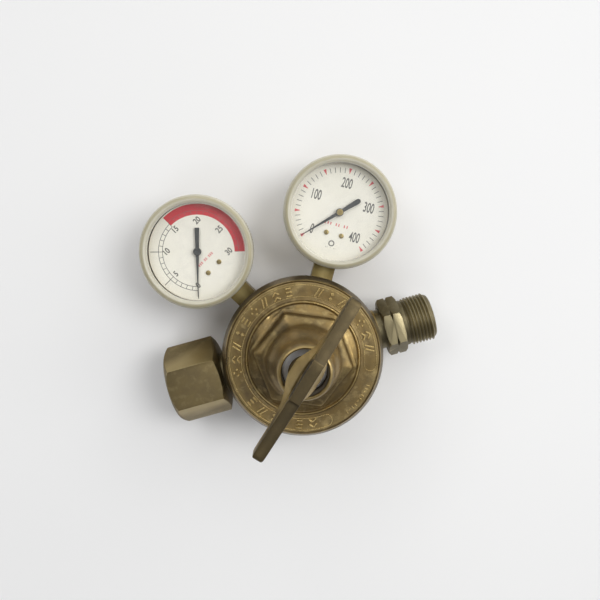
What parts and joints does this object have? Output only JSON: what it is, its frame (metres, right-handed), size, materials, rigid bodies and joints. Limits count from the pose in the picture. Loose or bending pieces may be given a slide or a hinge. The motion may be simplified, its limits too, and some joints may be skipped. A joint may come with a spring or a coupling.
{
  "type": "two-stage gas pressure regulator",
  "caption": "Brass two-stage gas pressure regulator with a T-handle adjusting screw, two dial gauges, a hexagon inlet nut and a threaded hose outlet.",
  "frame": {"origin": "centre of the flat rear face of the rear cap, on the adjusting screw's axis", "axes": "+Z out of the front along the adjusting screw, +X towards the outlet, -X towards the inlet nut, gauges on the +Y side"},
  "size_m": [0.1696, 0.1603, 0.127],
  "materials": {
    "body_brass": "satin forged brass, darkened with age",
    "bonnet_brass": "satin golden forged brass with grey-brown patina in the recesses",
    "handle_brass": "forged brass, worn golden at the web, dark brown on the top edges",
    "nut_brass": "machined hexagon bar, olive-brown tarnish",
    "outlet_brass": "machined brass, grey-olive tarnish",
    "stem_brass": "square brass bar, olive tarnish",
    "bushing_plate": "bright nickel plate",
    "screw_steel": "plated steel",
    "spring_steel": "music wire",
    "inner_brass": "clean machined brass",
    "diaphragm_rubber": "fabric reinforced rubber",
    "seat_plastic": "valve seat plastic",
    "filter_bronze": "sintered bronze",
    "case_brass": "drawn brass case",
    "dial_face": "cream printed dial",
    "dial_screw_brass": "small brass screws",
    "needle_black": "matt black needle",
    "lens_plastic": "clear plastic, aged to a warm grey"
  },
  "bodies": {
    "root": {"body": "body_brass", "bonnet": "bonnet_brass", "bonnet_bushing": "bushing_plate", "adjusting_spring": "spring_steel", "delivery_diaphragm": "diaphragm_rubber", "slip_ring": "inner_brass", "delivery_nozzle": "inner_brass", "delivery_poppet_spring": "spring_steel", "rear_cap": "body_brass", "first_stage_spring_seat": "screw_steel", "first_stage_diaphragm": "diaphragm_rubber", "first_stage_spring": "spring_steel", "first_stage_nozzle": "inner_brass", "first_stage_poppet_spring": "spring_steel", "inlet_nipple": "outlet_brass", "inlet_filter": "filter_bronze", "outlet_fitting": "outlet_brass", "delivery_gauge_socket": "stem_brass", "delivery_gauge_case": "case_brass", "delivery_bourdon_tube": "inner_brass", "delivery_movement": "inner_brass", "delivery_dial": "dial_face", "delivery_dial_screws": "dial_screw_brass", "delivery_lens": "lens_plastic", "supply_gauge_socket": "stem_brass", "supply_gauge_case": "case_brass", "supply_bourdon_tube": "inner_brass", "supply_movement": "inner_brass", "supply_dial": "dial_face", "supply_dial_screws": "dial_screw_brass", "supply_lens": "lens_plastic"},
    "button": {"spring_button": "screw_steel"},
    "adjusting_screw": {"adjusting_screw": "screw_steel", "t_handle": "handle_brass"},
    "delivery_valve": {"diaphragm_plate": "inner_brass", "diaphragm_stud": "inner_brass", "diaphragm_nut": "inner_brass", "delivery_seat": "seat_plastic", "delivery_poppet": "inner_brass"},
    "first_stage_valve": {"first_stage_plate": "inner_brass", "first_stage_seat": "seat_plastic", "first_stage_poppet": "inner_brass"},
    "inlet_nut": {"inlet_nut": "nut_brass"},
    "delivery_pointer": {"delivery_pointer": "needle_black"},
    "delivery_sector": {"delivery_sector": "inner_brass"},
    "supply_pointer": {"supply_pointer": "needle_black"},
    "supply_sector": {"supply_sector": "inner_brass"}
  },
  "joints": [
    {"name": "adjust_travel", "type": "slide", "parent": "root", "child": "button", "axis": [0, 0, -1], "range_m": [0, 0.00613], "deforming": ["adjusting_spring"]},
    {"name": "adjust_turn", "type": "hinge", "parent": "button", "child": "adjusting_screw", "pos_m": [0, 0, 0.115], "axis": [0, 0, -1], "range_deg": [0, 1260]},
    {"name": "delivery_lift", "type": "slide", "parent": "root", "child": "delivery_valve", "axis": [0, 0, -1], "range_m": [0, 0.0008], "deforming": ["delivery_poppet_spring", "delivery_diaphragm"]},
    {"name": "first_stage_lift", "type": "slide", "parent": "root", "child": "first_stage_valve", "axis": [0, 0, -1], "range_m": [0, 0.00055], "stiffness_N_per_m": 200, "springref_m": -0.003, "deforming": ["first_stage_spring", "first_stage_poppet_spring", "first_stage_diaphragm"]},
    {"name": "inlet_nut_spin", "type": "hinge", "parent": "root", "child": "inlet_nut", "pos_m": [-0.067, 0, 0.0255], "axis": [-1, 0, 0], "continuous": true},
    {"name": "delivery_pointer_turn", "type": "hinge", "parent": "root", "child": "delivery_pointer", "pos_m": [-0.0447, 0.07742, 0.0393], "axis": [0, 0, -1], "range_deg": [0, 270], "stiffness_Nm_per_rad": 0.0002, "springref_deg": -5.73},
    {"name": "delivery_sector_turn", "type": "hinge", "parent": "root", "child": "delivery_sector", "pos_m": [-0.0392, 0.0679, 0.0305], "axis": [0, 0, -1], "range_deg": [-46.5, 0]},
    {"name": "supply_pointer_turn", "type": "hinge", "parent": "root", "child": "supply_pointer", "pos_m": [0.0447, 0.07742, 0.0393], "axis": [0, 0, -1], "range_deg": [0, 270], "stiffness_Nm_per_rad": 0.0002, "springref_deg": -5.73},
    {"name": "supply_sector_turn", "type": "hinge", "parent": "root", "child": "supply_sector", "pos_m": [0.0392, 0.0679, 0.0305], "axis": [0, 0, -1], "range_deg": [-46.5, 0]}
  ],
  "couplings": [
    {"joint": "adjust_travel", "follows": "adjust_turn", "m_per_rad": 0.00027852},
    {"joint": "delivery_lift", "follows": "adjust_turn", "m_per_rad": 0.00003637},
    {"joint": "delivery_sector_turn", "follows": "delivery_pointer_turn", "ratio": -0.17021},
    {"joint": "supply_sector_turn", "follows": "supply_pointer_turn", "ratio": -0.17021}
  ]
}
